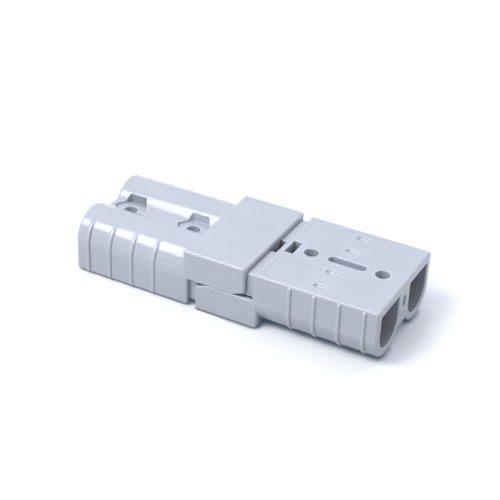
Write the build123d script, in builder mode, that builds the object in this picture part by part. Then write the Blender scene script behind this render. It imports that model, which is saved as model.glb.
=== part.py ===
"""Mated pair of two-pole, high-current battery connectors.

Each half is one moulded housing with two crimp contacts and two leaf springs.
The two halves are the same part: the left one is the right one turned half a
turn about Y through the middle of the pair. The shapes below are made in the
frame of the right half, with X = 0 in the middle of the mated pair and Z = 0 on
the plane where the contacts meet. The pair then stands on the right half's hood.
"""

from build123d import *
import os

# Outside of one housing
body_width = 70.0
end_reach = 90.7
shoulder_reach = 19.5
flat_height = 16.4
flat_edge_radius = 1.3
end_edge_radius = 1.4
shoulder_edge_radius = 1.3

# Two round barrels under the flat side, flush with its edges, and the web that
# joins them
barrel_radius = 15.8
barrel_drop = 0.85
valley_depth = 9.3
crest_radius = 13.0
crest_step = 0.15
crest_length = 27.5

# Grip ribs on the sides
rib_count = 4
rib_pitch = 13.97
rib_end_distance = 7.8
rib_width = 2.1
rib_height = 0.9
rib_edge_radius = 0.7
rib_fade_radius = 13.0
rib_fade_drop = 2.2

# Hood that covers the other half's fingers
hood_rise = 0.75
hood_front_gap = 4.6
hood_back_overlap = 3.1
hood_roof = 3.0
hood_wall = 2.5
hood_edge_radius = 1.4
hood_corner_radius = 1.6
hood_gap = 0.4
hood_lead_length = 7.5
hood_lead_height = 2.6
partition_gap = 1.5

# Fingers that carry the contacts into the other half's hood
finger_end_gap = 6.0
finger_clearance = 0.3
finger_edge_radius = 0.8
finger_side_wall = 1.9
finger_roof = 2.8
finger_lift = 0.2

# Passages through the housing, one for each pole
pole_shift = 0.6
barrel_wall = 4.0
flat_wall = 4.8
wire_cavity_depth = 47.7
mouth_radius = 0.7
channel_width = 20.4

# Mounting holes with hexagonal nut recesses
mounting_hole_diameter = 8.2
mounting_hole_pitch = 41.1
mounting_hole_end_distance = 13.3
nut_across_flats = 17.6
nut_recess_depth = 1.5

# Coring recesses in the flat side and in the end of the web
core_slot_length = 22.3
core_slot_width = 5.6
core_slot_shift = 0.45
core_slot_depth = 12.0
core_pocket_length = 5.2
core_pocket_wall = 2.1
core_pocket_setback = 3.5
core_pocket_depth = 12.0
end_slot_length = 7.4
end_slot_width = 4.0
end_slot_height = 4.8
end_slot_depth = 7.5

# Shallow marks in the flat side and in one side
dimple_length = 8.4
dimple_radius = 1.9
dimple_sink = 0.2
dimple_setback = 2.15
dimple_inner_offset = 12.0
dimple_edge_distance = 8.1
panel_length = 25.0
panel_width = 18.6
panel_setback = 4.1
panel_offset = 12.3
panel_depth = 0.12
gate_mark_diameter = 1.6
gate_mark_depth = 0.15
gate_mark_setback = 10.2
gate_mark_height = 6.4

# Crimp contact
contact_side_play = 0.7
contact_thickness = 3.2
contact_tip_setback = 1.5
contact_gap = 0.02
contact_lead_length = 3.5
contact_lead_height = 1.2
contact_corner = 3.0
crimp_outer_diameter = 16.4
crimp_bore_diameter = 12.8
crimp_end_distance = 15.7
crimp_length = 24.0
crimp_neck_length = 7.4
crimp_bore_depth = 21.0
sight_hole_diameter = 2.5

# Leaf spring between the contact and the finger's roof
spring_thickness = 1.0
spring_width = 13.0
spring_tip_setback = 5.0
spring_tail_reach = 34.0
spring_end_length = 6.0
spring_crown_length = 8.0
spring_crown_reach = 12.0
spring_bend_radius = 4.0

# Body, barrels and ribs that follow from the sizes above
half_width = body_width / 2
half_barrel = half_width - barrel_radius
body_length = end_reach - shoulder_reach
crest_height = crest_radius - barrel_radius - barrel_drop - crest_step
crest_reach = end_reach - crest_length
half_rib_spacing = half_width + rib_height - rib_fade_radius
rib_last_reach = end_reach - rib_end_distance

# Hood and fingers
hood_height = barrel_radius + barrel_drop + hood_rise
hood_front_reach = shoulder_reach - hood_front_gap
hood_length = hood_front_reach + shoulder_reach + hood_back_overlap
hood_floor = -hood_gap / 2
hood_cavity_half_width = half_width - hood_wall
hood_cavity_depth = hood_height - hood_roof
finger_reach = shoulder_reach - finger_end_gap
finger_half_width = hood_cavity_half_width - finger_clearance
finger_height = hood_cavity_depth - finger_clearance
finger_length = finger_reach + shoulder_reach

# Passages, holes and marks
half_pole = half_barrel - pole_shift
pole_inner_side = half_pole - channel_width / 2
notch_width = 2 * (pole_inner_side - finger_side_wall)
partition_width = notch_width - 2 * partition_gap
channel_height = finger_height - finger_roof
wire_cavity_radius = barrel_radius - barrel_wall
wire_cavity_roof = flat_height - flat_wall
wire_cavity_floor_reach = end_reach - wire_cavity_depth
mounting_middle_reach = end_reach - mounting_hole_end_distance - mounting_hole_pitch / 2
nut_floor_depth = valley_depth - nut_recess_depth
core_slot_middle_reach = mounting_middle_reach + core_slot_shift
core_pocket_reach = shoulder_reach + core_pocket_setback
core_pocket_width = 2 * (pole_inner_side - core_pocket_wall)
dimple_reach = mounting_middle_reach - dimple_setback
dimple_outer_offset = half_width - dimple_edge_distance
panel_reach = shoulder_reach + panel_setback
gate_mark_reach = shoulder_reach + gate_mark_setback

# Contact and spring
contact_width = channel_width - 2 * contact_side_play
contact_tip_reach = finger_reach - contact_tip_setback
contact_floor = contact_gap / 2
contact_back = contact_floor + contact_thickness
crimp_height = contact_floor + contact_thickness / 2
crimp_end_reach = end_reach - crimp_end_distance
crimp_front_reach = crimp_end_reach - crimp_length
contact_shoulder_reach = crimp_front_reach - crimp_neck_length
spring_tip_reach = finger_reach - spring_tip_setback
spring_roof_line = channel_height - spring_thickness / 2
spring_crown_line = contact_back + spring_thickness / 2


# The body: a flat side above and two round barrels below, whose crests step out
# by a little towards the wire end
def draw_barrels(half_spacing, radius, drop):
    """Draw the lower halves of two circles, half_spacing to each side of the middle."""
    with Locations((-half_spacing, -drop), (half_spacing, -drop)):
        Circle(radius)
    with Locations((0, -drop)):
        Rectangle(
            2 * (half_spacing + radius),
            radius,
            align=(Align.CENTER, Align.MIN),
            mode=Mode.SUBTRACT,
        )


with BuildPart() as body:
    with BuildSketch(Plane.YZ.offset(shoulder_reach)):
        draw_barrels(half_barrel, barrel_radius, barrel_drop)
        Rectangle(2 * half_barrel, valley_depth, align=(Align.CENTER, Align.MAX))
        with Locations((0, -barrel_drop)):
            outline = Rectangle(
                body_width, flat_height + barrel_drop, align=(Align.CENTER, Align.MIN)
            )
        fillet(outline.vertices().group_by(Axis.Y)[-1], flat_edge_radius)
    extrude(amount=body_length)
    with BuildSketch(Plane.YZ.offset(crest_reach)):
        with Locations((-half_barrel, crest_height), (half_barrel, crest_height)):
            Circle(crest_radius)
            Rectangle(
                2 * crest_radius,
                crest_radius,
                align=(Align.CENTER, Align.MIN),
                mode=Mode.SUBTRACT,
            )
    extrude(amount=end_reach - crest_reach)
    fillet(body.faces().sort_by(Axis.X)[-1].outer_wire().edges(), end_edge_radius)
    fillet(body.faces().sort_by(Axis.X)[0].outer_wire().edges(), shoulder_edge_radius)


# One pair of grip ribs, upright on the sides and fading out around the barrels
with BuildPart() as rib_pair:
    with BuildSketch(Plane.YZ.offset(-rib_width / 2)):
        draw_barrels(half_rib_spacing, rib_fade_radius, rib_fade_drop)
        with Locations((0, -rib_fade_drop)):
            Rectangle(
                body_width + 2 * rib_height,
                flat_height - flat_edge_radius + rib_fade_drop,
                align=(Align.CENTER, Align.MIN),
            )
    extrude(amount=rib_width)
    fillet(rib_pair.faces().filter_by(Axis.X).edges(), rib_edge_radius)


# The hood, open towards the other half and split by the centre partition
with BuildPart() as hood:
    with BuildSketch(Plane.XY.offset(-hood_height)) as hood_plan:
        with Locations((-hood_front_reach, 0)):
            Rectangle(hood_length, body_width, align=(Align.MIN, Align.CENTER))
        fillet(hood_plan.vertices(), hood_corner_radius)
    extrude(amount=hood_height + hood_floor)
    fillet(hood.faces().sort_by(Axis.Z)[0].edges(), hood_edge_radius)
    with BuildSketch(Plane.XY.offset(hood_floor)):
        with Locations((-hood_front_reach, 0)):
            Rectangle(
                hood_front_reach + shoulder_reach,
                2 * hood_cavity_half_width,
                align=(Align.MIN, Align.CENTER),
            )
        with Locations((-hood_front_reach, 0)):
            Rectangle(
                hood_length,
                partition_width,
                align=(Align.MIN, Align.CENTER),
                mode=Mode.SUBTRACT,
            )
    extrude(amount=-(hood_cavity_depth + hood_floor), mode=Mode.SUBTRACT)
    with BuildSketch(Plane.XZ):
        with BuildLine():
            Polyline(
                (-hood_front_reach, hood_floor),
                (-hood_front_reach + hood_lead_length, hood_floor),
                (-hood_front_reach, hood_floor - hood_lead_height),
                close=True,
            )
        make_face()
    extrude(amount=half_width, both=True, mode=Mode.SUBTRACT)


# Two fingers above the mating plane, one for each pole
with BuildPart() as fingers:
    with BuildSketch(Plane.YZ.offset(-finger_reach)) as finger_section:
        with Locations((0, finger_lift)):
            Rectangle(
                2 * finger_half_width,
                finger_height - finger_lift,
                align=(Align.CENTER, Align.MIN),
            )
            fillet(finger_section.vertices().group_by(Axis.Y)[-1], finger_edge_radius)
            Rectangle(
                notch_width,
                finger_height - finger_lift,
                align=(Align.CENTER, Align.MIN),
                mode=Mode.SUBTRACT,
            )
    extrude(amount=finger_length)
    fillet(fingers.faces().sort_by(Axis.X)[0].outer_wire().edges(), finger_edge_radius)


# Round-bottomed dimple, as a tool with its long axis in the flat side
with BuildPart() as dimple:
    with BuildSketch(Plane.XY) as dimple_half:
        SlotOverall(dimple_length, 2 * dimple_radius)
        split(bisect_by=Plane.XZ)
    revolve(axis=Axis.X)


# The whole housing
with BuildPart() as housing:
    add(body)
    for index in range(rib_count):
        with Locations((rib_last_reach - index * rib_pitch, 0, 0)):
            add(rib_pair)
    add(hood)
    add(fingers)

    # Channel for the contact and its spring, through the finger and into the body
    with BuildSketch(Plane.YZ.offset(-finger_reach)):
        with Locations((-half_pole, 0), (half_pole, 0)):
            Rectangle(channel_width, channel_height, align=(Align.CENTER, Align.MIN))
    extrude(amount=finger_reach + wire_cavity_floor_reach, mode=Mode.SUBTRACT)

    # Wire cavity, round below and square towards the flat side
    with BuildSketch(Plane.YZ.offset(end_reach)):
        with Locations((-half_pole, 0), (half_pole, 0)):
            Circle(wire_cavity_radius)
            Rectangle(2 * wire_cavity_radius, wire_cavity_roof, align=(Align.CENTER, Align.MIN))
    extrude(amount=wire_cavity_floor_reach - end_reach, mode=Mode.SUBTRACT)
    mouth_edges = ShapeList()
    for inner_wire in housing.faces().sort_by(Axis.X)[-1].inner_wires():
        mouth_edges.extend(inner_wire.edges())
    fillet(mouth_edges, mouth_radius)

    # Mounting holes, with the nut recesses on the barrel side
    with Locations((mounting_middle_reach, 0, flat_height)):
        with GridLocations(mounting_hole_pitch, 0, 2, 1):
            Hole(mounting_hole_diameter / 2, depth=flat_height + barrel_radius)
    with BuildSketch(Plane.XY.offset(-nut_floor_depth)):
        with Locations((mounting_middle_reach, 0)):
            with GridLocations(mounting_hole_pitch, 0, 2, 1):
                RegularPolygon(nut_across_flats / 2, 6, major_radius=False)
    extrude(amount=nut_floor_depth - barrel_radius, mode=Mode.SUBTRACT)

    # Coring slot and pocket in the flat side, and the slot in the end of the web
    with BuildSketch(Plane.XY.offset(flat_height)):
        with Locations((core_slot_middle_reach, 0)):
            SlotOverall(core_slot_length, core_slot_width)
    extrude(amount=-core_slot_depth, mode=Mode.SUBTRACT)
    with BuildSketch(Plane.XY.offset(flat_height)):
        with Locations((core_pocket_reach, 0)):
            Rectangle(core_pocket_length, core_pocket_width, align=(Align.MIN, Align.CENTER))
    extrude(amount=-core_pocket_depth, mode=Mode.SUBTRACT)
    with BuildSketch(Plane.YZ.offset(end_reach)):
        with Locations((0, end_slot_height)):
            SlotOverall(end_slot_length, end_slot_width, rotation=90)
    extrude(amount=-end_slot_depth, mode=Mode.SUBTRACT)

    # Shallow panels, dimples and the gate mark
    for side in (-1, 1):
        with BuildSketch(Plane.XY.offset(flat_height)):
            with Locations((panel_reach, side * (panel_offset + panel_width / 2))):
                Rectangle(panel_length, panel_width, align=(Align.MIN, Align.CENTER))
        extrude(amount=-panel_depth, mode=Mode.SUBTRACT)
        for offset_from_middle in (dimple_inner_offset, dimple_outer_offset):
            with Locations((dimple_reach, side * offset_from_middle, flat_height + dimple_sink)):
                add(dimple, mode=Mode.SUBTRACT)
    with BuildSketch(Plane.XZ.offset(half_width)):
        with Locations((gate_mark_reach, gate_mark_height)):
            Circle(gate_mark_diameter / 2)
    extrude(amount=-gate_mark_depth, mode=Mode.SUBTRACT)


# Crimp contact for the pole at Y = 0: flat tongue, neck and crimp barrel
with BuildPart() as contact:
    with BuildSketch(Plane.XZ):
        with BuildLine():
            Polyline(
                (contact_shoulder_reach, contact_floor),
                (-contact_tip_reach + contact_lead_length, contact_floor),
                (-contact_tip_reach, contact_floor + contact_lead_height),
                (-contact_tip_reach, contact_back),
                (contact_shoulder_reach, contact_back),
                close=True,
            )
        make_face()
    extrude(amount=contact_width / 2, both=True)
    tip_edges = contact.edges().filter_by(Axis.Z).group_by(Axis.X)[0]
    chamfer(tip_edges, contact_corner)
    with BuildSketch(Plane.YZ.offset(contact_shoulder_reach)):
        with Locations((0, contact_floor)):
            Rectangle(contact_width, contact_thickness, align=(Align.CENTER, Align.MIN))
    with BuildSketch(Plane.YZ.offset(crimp_front_reach)):
        with Locations((0, crimp_height)):
            Circle(crimp_outer_diameter / 2)
    loft()
    with BuildSketch(Plane.YZ.offset(crimp_front_reach)):
        with Locations((0, crimp_height)):
            Circle(crimp_outer_diameter / 2)
    extrude(amount=crimp_end_reach - crimp_front_reach)
    with BuildSketch(Plane.YZ.offset(crimp_end_reach)):
        with Locations((0, crimp_height)):
            Circle(crimp_bore_diameter / 2)
    extrude(amount=-crimp_bore_depth, mode=Mode.SUBTRACT)
    with BuildSketch(Plane.XY):
        with Locations((crimp_end_reach - crimp_bore_depth + sight_hole_diameter, 0)):
            Circle(sight_hole_diameter / 2)
    extrude(amount=crimp_outer_diameter, mode=Mode.SUBTRACT)


# Leaf spring for the pole at Y = 0: its ends bear on the finger's roof and its
# crown presses on the back of the contact
with BuildPart() as spring:
    with BuildSketch(Plane.XZ):
        with BuildLine() as spring_line:
            FilletPolyline(
                (-spring_tip_reach, spring_roof_line),
                (-spring_tip_reach + spring_end_length, spring_roof_line),
                (spring_crown_reach - spring_crown_length / 2, spring_crown_line),
                (spring_crown_reach + spring_crown_length / 2, spring_crown_line),
                (spring_tail_reach - spring_end_length, spring_roof_line),
                (spring_tail_reach, spring_roof_line),
                radius=spring_bend_radius,
            )
        trace(line_width=spring_thickness)
    extrude(amount=spring_width / 2, both=True)


# The two halves, the left one turned half a turn about Y
os.makedirs("parts", exist_ok=True)
half_places = {
    "right": Location((0, 0, hood_height)),
    "left": Location((0, 0, hood_height), (0, 180, 0)),
}
pole_names = {"near": -half_pole, "far": half_pole}


def save_piece(shape, half, name, offset_y):
    """Place a copy of a shape in one half of the pair and write it as a STEP file."""
    with BuildPart() as piece:
        with Locations(half_places[half]):
            with Locations((0, offset_y, 0)):
                add(shape)
    piece.part.label = f"{half}_{name}"
    export_step(piece.part, f"parts/{half}_{name}.step")


for half in half_places:
    save_piece(housing, half, "housing", 0)
    for pole, pole_y in pole_names.items():
        save_piece(contact, half, f"contact_{pole}", pole_y)
        save_piece(spring, half, f"spring_{pole}", pole_y)
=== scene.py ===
"""Looks of the mated battery connector: materials, studio light, floor and camera."""

import math

import bpy
from mathutils import Matrix, Vector

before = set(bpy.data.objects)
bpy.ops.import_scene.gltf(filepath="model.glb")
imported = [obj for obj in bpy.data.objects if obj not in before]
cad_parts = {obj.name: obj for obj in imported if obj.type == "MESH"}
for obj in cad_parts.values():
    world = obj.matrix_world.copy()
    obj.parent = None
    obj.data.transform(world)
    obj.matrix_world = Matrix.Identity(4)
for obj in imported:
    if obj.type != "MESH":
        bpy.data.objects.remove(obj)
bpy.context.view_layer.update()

MM = 0.001
WHITE = (1.0, 1.0, 1.0)

# Camera, fitted to the corners and outlines of both housings, with angles in degrees
CAMERA_AZIMUTH = 27.205
CAMERA_ELEVATION = 31.801
CAMERA_ROLL = 2.308
CAMERA_DISTANCE = 709.6 * MM
CAMERA_TARGET = Vector((-0.5, 0.0, 23.43)) * MM
CAMERA_LENS = 93.71
CAMERA_SENSOR = 36.0

# Two soft lamps that face the part, in metres, and an even room
KEY_DIRECTION = Vector((-0.39, -0.50, 0.77))
KEY_DISTANCE = 1.2
KEY_WIDTH = 0.55
KEY_HEIGHT = 0.68
KEY_RADIANCE = 6.8
TOP_DIRECTION = Vector((0.1, 0.55, 0.83))
TOP_DISTANCE = 1.6
TOP_SIZE = 1.2
TOP_RADIANCE = 1.0
TOP_COLOR = (0.9, 0.97, 1.2)
ROOM_STRENGTH = 0.60
SEEN_ROOM_STRENGTH = 1.0

# Floor as the light meets it
FLOOR_SIZE = 8.0
FLOOR_COLOR = (0.42, 0.42, 0.42)
FLOOR_MOTTLE = 0.4
FLOOR_SHADES = (0.995, 1.005)
FLOOR_ROUGHNESS = 0.7
FLOOR_SPECULAR = 0.1

# Floor as it is seen: white and lit, keeping the cast shadow, with a painted contact shadow that
# is wider on the shaded side, a painted blue tint and painted glow that lifts the shadow away from
# the part
CONTACT_REACH = (1.2 * MM, 3.1 * MM)
CONTACT_WIDENS_X = (0.0 * MM, 8.0 * MM)
PAINTED_SHADOW_TINT = (0.02, 0.04, 0.08)
SHADOW_FADE_REACH = 30.0 * MM
SHADOW_FADE_OPENNESS = (0.8, 1.0)
SHADOW_FADE_GLOW = 0.14
BACKDROP_FROM = (0.4, 1.2)

# Samples of the nodes that trace short rays
OCCLUSION_SAMPLES = 8
BEVEL_SAMPLES = 6

# Openness behind a surface, from a sharp convex edge to a flat face
EDGE_OPENNESS = (0.55, 0.95)

# Moulded plastic: colour, clouds in it, and convex edges, with painted highlight and rounded
# normals on them
PLASTIC_COLOR = (0.515, 0.555, 0.65)
CLOUDS = {"size": 18 * MM, "detail": 4.0, "stretch": (0.6, 1.0, 1.0)}
CLOUD_CONTRAST = (0.35, 0.65)
CLOUD_SHADES = (0.975, 1.02)
EDGE_REACH = 1.1 * MM
PAINTED_EDGE_HIGHLIGHT = 1.48
EDGE_ROUNDING = 0.9 * MM

# Moulded plastic: relief and gloss
WAVES = {"size": 9 * MM, "detail": 1.0}
WAVE_HEIGHT = 0.03 * MM
WAVE_STRENGTH = 0.5
GRAIN = {"size": 0.35 * MM, "detail": 2.0}
GRAIN_HEIGHT = 0.004 * MM
GRAIN_STRENGTH = 0.4
GLOSS = {"size": 2.5 * MM}
GLOSS_CONTRAST = (0.3, 0.7)
GLOSS_ROUGHNESS = (0.09, 0.15)
PLASTIC_IOR = 1.59

# Parting line of the moulding, along the sides of each half's body: a small bumped step with
# painted highlight along it
SEAM_HEIGHT_RIGHT = 16.55 * MM
SEAM_HEIGHT_LEFT = 18.25 * MM
SEAM_HALF_WIDTH = 0.4 * MM
SEAM_SHINE = 0.5
SEAM_STEP = 0.15 * MM
SEAM_SIDE_REACH = (33.8 * MM, 34.4 * MM)
SEAM_BODY_REACH = (20.5 * MM, 21.5 * MM)

# Heights of each half's two flat sides, recessed panels included, which are less glossy
FLATS_RIGHT = (0.13 * MM, 33.67 * MM)
FLATS_LEFT = (1.13 * MM, 34.67 * MM)
MATT_FADE = 0.05 * MM
MATT_ROUGHNESS = 0.2

# Wire cavities, and the narrow gaps round the hoods, get painted shade: a darker colour where
# walls close them in
PAINTED_SHADE_COLOR = (0.325, 0.34, 0.39)
CAVITY_REACH = 40.0 * MM
CAVITY_OPENNESS = (0.35, 0.85)
CAVITY_FROM_X = (66.0 * MM, 72.0 * MM)
CAVITY_FROM_Y = (5.0 * MM, 7.0 * MM)
GAP_REACH = 8.0 * MM
GAP_OPENNESS = (0.2, 0.65)
GAP_UP_TO_X = (30.5 * MM, 32.0 * MM)

# Silver-plated contact: satin, with drawn marks along its length
SILVER = {
    "color": (0.83, 0.82, 0.79),
    "marks": {"size": 1.2 * MM, "stretch": (0.08, 1.0, 1.0)},
    "mark_height": 0.02 * MM,
    "mark_strength": 0.6,
    "roughness": (0.22, 0.38),
    "stains": {"size": 7 * MM, "detail": 4.0},
    "stain_contrast": (0.4, 0.7),
    "stain_shades": (1.03, 0.86),
    "edge_reach": 0.4 * MM,
    "edge_shade": 1.1,
    "rounding": 0.25 * MM,
}

# Rolled spring strip: fine lines along the strip, and darker places
STEEL = {
    "color": (0.62, 0.62, 0.61),
    "marks": {"size": 0.5 * MM, "stretch": (0.05, 1.0, 1.0)},
    "mark_height": 0.01 * MM,
    "mark_strength": 0.5,
    "roughness": (0.25, 0.42),
    "stains": {"size": 6 * MM, "detail": 2.0},
    "stain_contrast": (0.35, 0.7),
    "stain_shades": (1.05, 0.85),
    "edge_reach": 0.25 * MM,
    "edge_shade": 1.15,
    "rounding": 0.15 * MM,
}
MARK_CONTRAST = (0.3, 0.7)

# Sockets of a Mix node that blends colours
MIX_FACTOR = 0
MIX_FIRST = 6
MIX_SECOND = 7
MIX_RESULT = 2


def shade(color, factor=1.0):
    """An RGBA colour, the given one made lighter or darker."""
    return (*(min(1.0, channel * factor) for channel in color), 1.0)


class Surface:
    """A node material with one Principled shader, and short calls to add nodes."""

    def __init__(self, name):
        self.material = bpy.data.materials.new(name)
        self.material.use_nodes = True
        self.tree = self.material.node_tree
        self.shader = self.tree.nodes["Principled BSDF"]
        coordinates = self.tree.nodes.new("ShaderNodeTexCoord")
        self.position = coordinates.outputs["Object"]

    def feed(self, socket, value):
        """Link a node's output to a socket, or write a plain value into it."""
        if isinstance(value, bpy.types.NodeSocket):
            self.tree.links.new(value, socket)
        else:
            socket.default_value = value

    def dress(self, **values):
        """Feed the shader's sockets, named with underscores for spaces."""
        for key, value in values.items():
            self.feed(self.shader.inputs[key.replace("_", " ")], value)

    def add(self, kind, inputs=None, **settings):
        node = self.tree.nodes.new(kind)
        for key, value in settings.items():
            setattr(node, key, value)
        for key, value in (inputs or {}).items():
            self.feed(node.inputs[key], value)
        return node

    def calculate(self, operation, first, second=0.0, clamp=False):
        node = self.add(
            "ShaderNodeMath", {0: first, 1: second}, operation=operation, use_clamp=clamp
        )
        return node.outputs["Value"]

    def spread(self, value, low, high, start=0.0, end=1.0):
        """Map a value from start..end to low..high, and hold it there outside."""
        node = self.add(
            "ShaderNodeMapRange",
            {
                "Value": value,
                "From Min": start,
                "From Max": end,
                "To Min": low,
                "To Max": high,
            },
        )
        return node.outputs["Result"]

    def noise(self, size, detail=3.0, stretch=(1.0, 1.0, 1.0)):
        """Noise whose features are about the given size in metres."""
        mapping = self.add("ShaderNodeMapping", {"Vector": self.position, "Scale": stretch})
        texture = self.add(
            "ShaderNodeTexNoise",
            {"Vector": mapping.outputs["Vector"], "Scale": 1.0 / size, "Detail": detail},
        )
        return texture.outputs["Fac"]

    def coordinate(self, axis):
        return self.add("ShaderNodeSeparateXYZ", {"Vector": self.position}).outputs[axis]

    def distance(self, axis, place=0.0):
        """How far a point lies from a plane square to one axis."""
        return self.calculate("ABSOLUTE", self.calculate("SUBTRACT", self.coordinate(axis), place))

    def blend_colors(self, factor, first, second):
        node = self.add("ShaderNodeMix", data_type="RGBA")
        self.feed(node.inputs[MIX_FACTOR], factor)
        self.feed(node.inputs[MIX_FIRST], first)
        self.feed(node.inputs[MIX_SECOND], second)
        return node.outputs[MIX_RESULT]

    def mottled(self, texture, contrast, color, shades):
        """The colour in two shades, which follow a noise texture."""
        return self.blend_colors(
            self.spread(texture, 0.0, 1.0, *contrast),
            shade(color, shades[0]),
            shade(color, shades[1]),
        )

    def bump(self, height, distance, strength, normal):
        inputs = {
            "Height": height,
            "Distance": distance,
            "Strength": strength,
            "Normal": normal,
        }
        return self.add("ShaderNodeBump", inputs).outputs["Normal"]

    def rounded(self, radius):
        """Normals that round sharp edges off."""
        node = self.add("ShaderNodeBevel", {"Radius": radius}, samples=BEVEL_SAMPLES)
        return node.outputs["Normal"]

    def openness(self, reach, **settings):
        """The share of a point's outlook that nothing within reach closes off."""
        node = self.add(
            "ShaderNodeAmbientOcclusion",
            {"Distance": reach},
            samples=OCCLUSION_SAMPLES,
            **settings,
        )
        return node.outputs["AO"]

    def edges(self, reach):
        """A mask that is 1 on convex edges: less solid than reach lies behind them."""
        behind = self.openness(reach, inside=True, only_local=True)
        return self.spread(behind, 1.0, 0.0, *EDGE_OPENNESS)

    def hollows(self, reach, openness, only_local):
        """A mask that is 1 where walls within reach close the surface in."""
        return self.spread(self.openness(reach, only_local=only_local), 1.0, 0.0, *openness)


def add_seam(surface, height):
    """A mask of the parting line, on the sides of the body and not on the hood."""
    line = surface.spread(surface.distance("Z", height), SEAM_SHINE, 0.0, 0.0, SEAM_HALF_WIDTH)
    on_side = surface.spread(surface.distance("Y"), 0.0, 1.0, *SEAM_SIDE_REACH)
    on_body = surface.spread(surface.distance("X"), 0.0, 1.0, *SEAM_BODY_REACH)
    return surface.calculate("MULTIPLY", line, surface.calculate("MULTIPLY", on_side, on_body))


def add_painted_shade(surface):
    """A mask of painted shade in the wire cavities and in the gaps round the hoods."""
    at_end = surface.calculate(
        "MULTIPLY",
        surface.spread(surface.distance("X"), 0.0, 1.0, *CAVITY_FROM_X),
        surface.spread(surface.distance("Y"), 0.0, 1.0, *CAVITY_FROM_Y),
    )
    closed_in = surface.hollows(CAVITY_REACH, CAVITY_OPENNESS, only_local=True)
    cavity = surface.calculate("MULTIPLY", closed_in, at_end)
    near_hoods = surface.spread(surface.distance("X"), 1.0, 0.0, *GAP_UP_TO_X)
    narrow = surface.hollows(GAP_REACH, GAP_OPENNESS, only_local=False)
    return surface.calculate("MAXIMUM", cavity, surface.calculate("MULTIPLY", narrow, near_hoods))


def add_gloss(surface, flats):
    """Roughness of the plastic, which is higher on the two flat sides."""
    lower, upper = flats
    height = surface.coordinate("Z")
    matt = surface.calculate(
        "MAXIMUM",
        surface.spread(height, MATT_ROUGHNESS, 0.0, lower, lower + MATT_FADE),
        surface.spread(height, 0.0, MATT_ROUGHNESS, upper - MATT_FADE, upper),
    )
    gloss = surface.spread(surface.noise(**GLOSS), *GLOSS_ROUGHNESS, *GLOSS_CONTRAST)
    return surface.calculate("ADD", gloss, matt)


def make_plastic(name, seam_height, flats):
    """Glossy moulded plastic: clouds, fine grain, a parting line, and painted highlight along
    convex edges and the parting line.
    """
    surface = Surface(name)
    clouds = surface.noise(**CLOUDS)
    color = surface.mottled(clouds, CLOUD_CONTRAST, PLASTIC_COLOR, CLOUD_SHADES)
    seam = add_seam(surface, seam_height)
    # Painted highlight: convex edges and the parting line are lightened in colour, standing in for
    # the lamps' reflection on them.
    painted_highlight = surface.calculate("MAXIMUM", surface.edges(EDGE_REACH), seam, clamp=True)
    color = surface.blend_colors(painted_highlight, color, shade(PLASTIC_COLOR, PAINTED_EDGE_HIGHLIGHT))
    # Painted shade: darker colour in the cavities and gaps, where walls close the surface in.
    color = surface.blend_colors(add_painted_shade(surface), color, shade(PAINTED_SHADE_COLOR))
    normal = surface.rounded(EDGE_ROUNDING)
    normal = surface.bump(surface.noise(**WAVES), WAVE_HEIGHT, WAVE_STRENGTH, normal)
    normal = surface.bump(surface.noise(**GRAIN), GRAIN_HEIGHT, GRAIN_STRENGTH, normal)
    normal = surface.bump(seam, SEAM_STEP, 1.0, normal)
    surface.dress(
        Base_Color=color,
        Roughness=add_gloss(surface, flats),
        Normal=normal,
        IOR=PLASTIC_IOR,
    )
    return surface.material


def make_metal(name, finish):
    """Satin metal with drawn marks, stains and brighter edges."""
    surface = Surface(name)
    color = finish["color"]
    marks = surface.noise(**finish["marks"])
    stains = surface.noise(**finish["stains"])
    tone = surface.mottled(stains, finish["stain_contrast"], color, finish["stain_shades"])
    edges = surface.edges(finish["edge_reach"])
    normal = surface.rounded(finish["rounding"])
    normal = surface.bump(marks, finish["mark_height"], finish["mark_strength"], normal)
    surface.dress(
        Base_Color=surface.blend_colors(edges, tone, shade(color, finish["edge_shade"])),
        Metallic=1.0,
        Roughness=surface.spread(marks, *finish["roughness"], *MARK_CONTRAST),
        Normal=normal,
    )
    return surface.material


def dress_nodes():
    """Give each CAD node its material: housings by name, the rest by their kind."""
    materials = {
        "right_housing": make_plastic("grey_plastic_right", SEAM_HEIGHT_RIGHT, FLATS_RIGHT),
        "left_housing": make_plastic("grey_plastic_left", SEAM_HEIGHT_LEFT, FLATS_LEFT),
        "contact": make_metal("silver_plate", SILVER),
        "spring": make_metal("spring_steel", STEEL),
    }
    for name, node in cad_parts.items():
        kind = name if name in materials else name.split("_")[1]
        node.data.materials.clear()
        node.data.materials.append(materials[kind])


def camera_only(tree, plain, seen):
    """Mix two shaders so that cameras and reflections see the second one."""
    rays = tree.nodes.new("ShaderNodeLightPath")
    mask = rays.outputs["Is Camera Ray"]
    for name in ("Is Glossy Ray", "Is Transmission Ray"):
        adder = tree.nodes.new("ShaderNodeMath")
        adder.operation = "MAXIMUM"
        tree.links.new(mask, adder.inputs[0])
        tree.links.new(rays.outputs[name], adder.inputs[1])
        mask = adder.outputs["Value"]
    mix = tree.nodes.new("ShaderNodeMixShader")
    for socket, source in zip(mix.inputs, (mask, plain, seen)):
        tree.links.new(source, socket)
    return mix.outputs["Shader"]


def make_world():
    """A dim even room for the light, white where it is seen."""
    world = bpy.data.worlds.new("studio")
    world.use_nodes = True
    tree = world.node_tree
    room = tree.nodes["Background"]
    seen = tree.nodes.new("ShaderNodeBackground")
    for node, strength in ((room, ROOM_STRENGTH), (seen, SEEN_ROOM_STRENGTH)):
        node.inputs["Color"].default_value = shade(WHITE)
        node.inputs["Strength"].default_value = strength
    both = camera_only(tree, room.outputs["Background"], seen.outputs["Background"])
    tree.links.new(both, tree.nodes["World Output"].inputs["Surface"])
    bpy.context.scene.world = world


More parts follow.
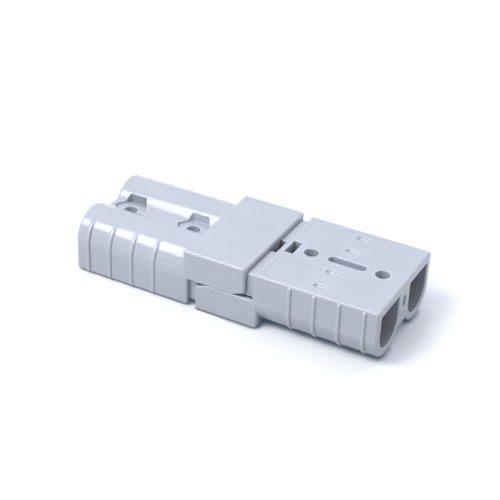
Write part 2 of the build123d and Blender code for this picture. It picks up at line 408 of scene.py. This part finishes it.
def add_seen_floor(surface):
    """White and lit, so that it keeps the cast shadow, which a painted contact shadow deepens near
    the part, and a painted glow that grows away from the part.
    """
    # Painted contact shadow: occlusion darkens the seen floor's colour, over a reach that widens
    # towards the shaded side.
    reach = surface.spread(surface.coordinate("X"), *CONTACT_REACH, *CONTACT_WIDENS_X)
    contact = surface.add(
        "ShaderNodeAmbientOcclusion",
        {"Color": shade(WHITE), "Distance": reach},
        samples=OCCLUSION_SAMPLES,
    )
    matt = surface.add("ShaderNodeBsdfDiffuse", {"Color": contact.outputs["Color"]})
    # Painted blue tint in the shadow: a faint glow that the lit floor clips to white.
    tint = surface.add("ShaderNodeEmission", {"Color": shade(PAINTED_SHADOW_TINT)})
    # Painted light: glow that lifts the shadow where the floor is open, added to the far
    # backdrop's glow.
    open_floor = surface.openness(SHADOW_FADE_REACH)
    shadow_lift_glow = surface.spread(open_floor, 0.0, SHADOW_FADE_GLOW, *SHADOW_FADE_OPENNESS)
    away = surface.add("ShaderNodeVectorMath", {0: surface.position}, operation="LENGTH")
    backdrop = surface.spread(away.outputs["Value"], 0.0, 1.0, *BACKDROP_FROM)
    white = surface.add(
        "ShaderNodeEmission", {"Strength": surface.calculate("ADD", shadow_lift_glow, backdrop)}
    )
    glow = surface.add(
        "ShaderNodeAddShader", {0: tint.outputs["Emission"], 1: white.outputs["Emission"]}
    )
    seen = surface.add("ShaderNodeAddShader", {0: matt.outputs["BSDF"], 1: glow.outputs["Shader"]})
    return seen.outputs["Shader"]


def make_floor():
    """A large pale floor that the pair stands on."""
    bpy.ops.mesh.primitive_plane_add(size=FLOOR_SIZE, location=(0.0, 0.0, 0.0))
    floor = bpy.context.object
    floor.name = "floor"
    surface = Surface("pale_floor")
    mottle = surface.noise(FLOOR_MOTTLE)
    surface.dress(
        Base_Color=surface.mottled(mottle, (0.0, 1.0), FLOOR_COLOR, FLOOR_SHADES),
        Roughness=FLOOR_ROUGHNESS,
        Specular_IOR_Level=FLOOR_SPECULAR,
    )
    both = camera_only(surface.tree, surface.shader.outputs["BSDF"], add_seen_floor(surface))
    surface.tree.links.new(both, surface.tree.nodes["Material Output"].inputs["Surface"])
    floor.data.materials.append(surface.material)


def add_softbox(name, direction, distance, width, height, radiance, color=WHITE):
    """A rectangular lamp that faces the part from the given direction."""
    direction = direction.normalized()
    data = bpy.data.lights.new(name, "AREA")
    data.shape = "RECTANGLE"
    data.size = width
    data.size_y = height
    data.energy = radiance * math.pi * width * height
    data.color = color
    lamp = bpy.data.objects.new(name, data)
    lamp.location = direction * distance
    lamp.rotation_euler = direction.to_track_quat("Z", "Y").to_euler()
    bpy.context.scene.collection.objects.link(lamp)


def make_camera():
    """The photograph's camera: it looks at the target, turned a little about its axis."""
    azimuth = math.radians(CAMERA_AZIMUTH)
    elevation = math.radians(CAMERA_ELEVATION)
    back = Vector(
        (
            math.sin(azimuth) * math.cos(elevation),
            -math.cos(azimuth) * math.cos(elevation),
            math.sin(elevation),
        )
    )
    data = bpy.data.cameras.new("camera")
    data.sensor_fit = "HORIZONTAL"
    data.sensor_width = CAMERA_SENSOR
    data.lens = CAMERA_LENS
    camera = bpy.data.objects.new("camera", data)
    bpy.context.scene.collection.objects.link(camera)
    place = Matrix.Translation(CAMERA_TARGET + back * CAMERA_DISTANCE)
    turn = back.to_track_quat("Z", "Y").to_matrix().to_4x4()
    roll = Matrix.Rotation(math.radians(CAMERA_ROLL), 4, "Z")
    camera.matrix_world = place @ turn @ roll
    bpy.context.scene.camera = camera


dress_nodes()
make_world()
make_floor()
add_softbox("key", KEY_DIRECTION, KEY_DISTANCE, KEY_WIDTH, KEY_HEIGHT, KEY_RADIANCE)
add_softbox("top", TOP_DIRECTION, TOP_DISTANCE, TOP_SIZE, TOP_SIZE, TOP_RADIANCE, TOP_COLOR)
make_camera()
bpy.context.scene.view_settings.view_transform = "Standard"
